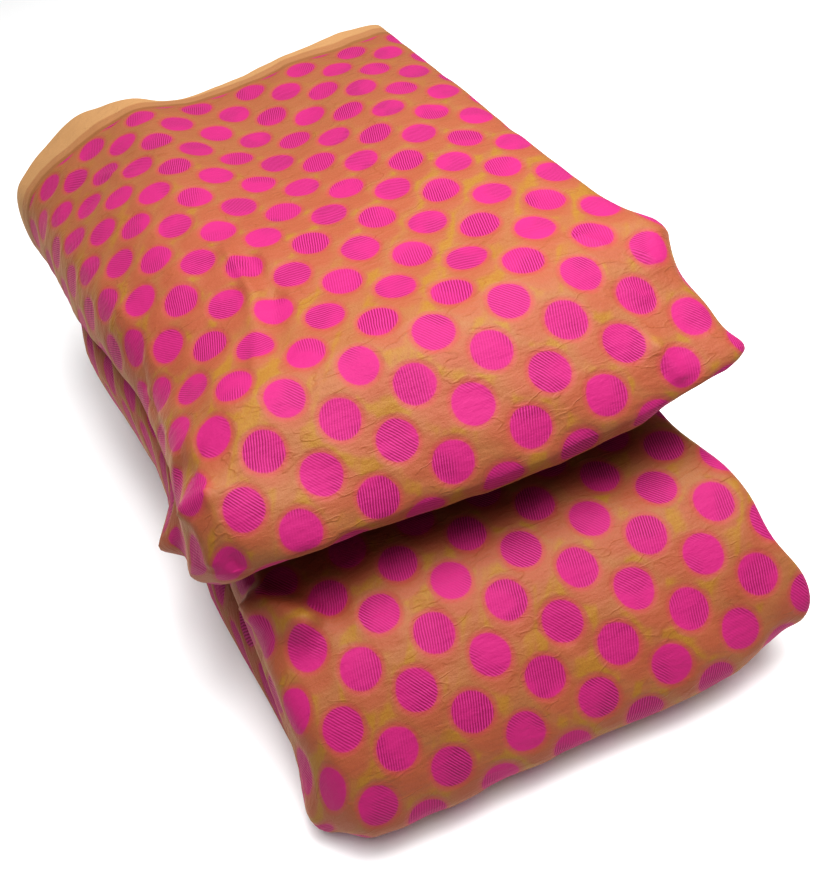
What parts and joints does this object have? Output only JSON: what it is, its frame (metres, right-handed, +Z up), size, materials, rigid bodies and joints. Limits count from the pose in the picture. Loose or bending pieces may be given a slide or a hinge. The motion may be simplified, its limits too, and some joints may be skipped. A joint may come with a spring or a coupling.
{
  "type": "folded chanderi cotton fabric",
  "caption": "Cut length of sheer woven dress cotton with round woven dots, folded lengthwise into a strip and zigzagged into a soft, rounded pad.",
  "frame": {"origin": "on the floor under the middle of the pad", "axes": "+Z up; +Y along the pad's length, from the two rounded noses at the front (-Y) to the selvedges and the back fold; +X to the right along the noses"},
  "size_m": [0.2012, 0.32, 0.1103],
  "materials": {
    "chanderi_cotton": "sheer plain weave with smooth woven dots"
  },
  "bodies": {
    "root": {"folded_fabric": "chanderi_cotton"}
  },
  "joints": []
}
